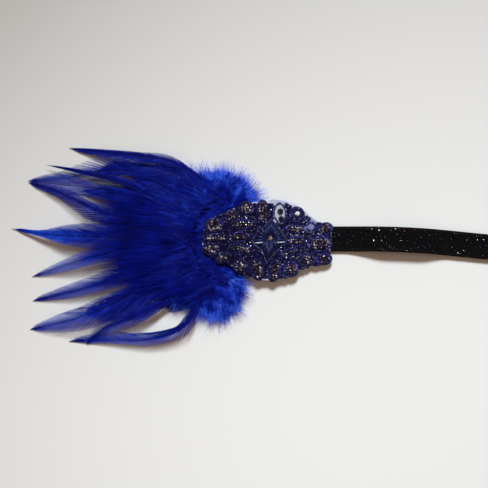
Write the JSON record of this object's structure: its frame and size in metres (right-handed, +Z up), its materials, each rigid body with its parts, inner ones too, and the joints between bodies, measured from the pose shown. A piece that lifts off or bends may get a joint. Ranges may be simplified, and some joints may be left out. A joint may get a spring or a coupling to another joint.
{
  "type": "flapper headpiece",
  "caption": "Beaded flapper headpiece on a glitter elastic loop, with a plume of blue hackle feathers spreading from under the applique, lying flat as if put down on a table.",
  "frame": {"origin": "on the table under the middle of the applique, on the elastic's underside", "axes": "+X along the elastic, away from the feathers; +Z up, out of the beaded face"},
  "size_m": [0.3805, 0.1268, 0.0133],
  "materials": {
    "glitter_elastic": "black velvet elastic with fine glitter",
    "net": "pale sheer net",
    "cut_beads": "dark bronze and purple lustre",
    "bugle_and_seed_beads": "dark blue lustre",
    "dyed_feather": "royal blue dyed feather"
  },
  "bodies": {
    "root": {"elastic_band": "glitter_elastic", "net_ground": "net", "cluster_end_left_upper": "cut_beads", "cluster_end_left_middle": "cut_beads", "cluster_end_left_lower": "cut_beads", "cluster_shoulder_left_upper": "cut_beads", "cluster_round_left_upper": "cut_beads", "cluster_tall_left_upper": "cut_beads", "cluster_row_left_upper": "cut_beads", "cluster_inner_left": "cut_beads", "cluster_row_left_lower": "cut_beads", "cluster_shoulder_left_lower": "cut_beads", "cluster_round_left_lower": "cut_beads", "cluster_tall_left_lower": "cut_beads", "cluster_tall_right_upper": "cut_beads", "cluster_round_right_upper": "cut_beads", "cluster_loop_right": "cut_beads", "cluster_end_right_upper": "cut_beads", "cluster_row_right_upper": "cut_beads", "cluster_inner_right": "cut_beads", "cluster_end_right_middle": "cut_beads", "cluster_end_right_lower": "cut_beads", "cluster_shoulder_right_lower": "cut_beads", "cluster_row_right_lower": "cut_beads", "cluster_round_right_lower": "cut_beads", "cluster_tall_right_lower": "cut_beads", "petal_upper": "bugle_and_seed_beads", "petal_left": "bugle_and_seed_beads", "petal_lower": "bugle_and_seed_beads", "petal_right": "bugle_and_seed_beads", "centre_bead": "cut_beads", "feather_plume": "dyed_feather"}
  },
  "joints": []
}
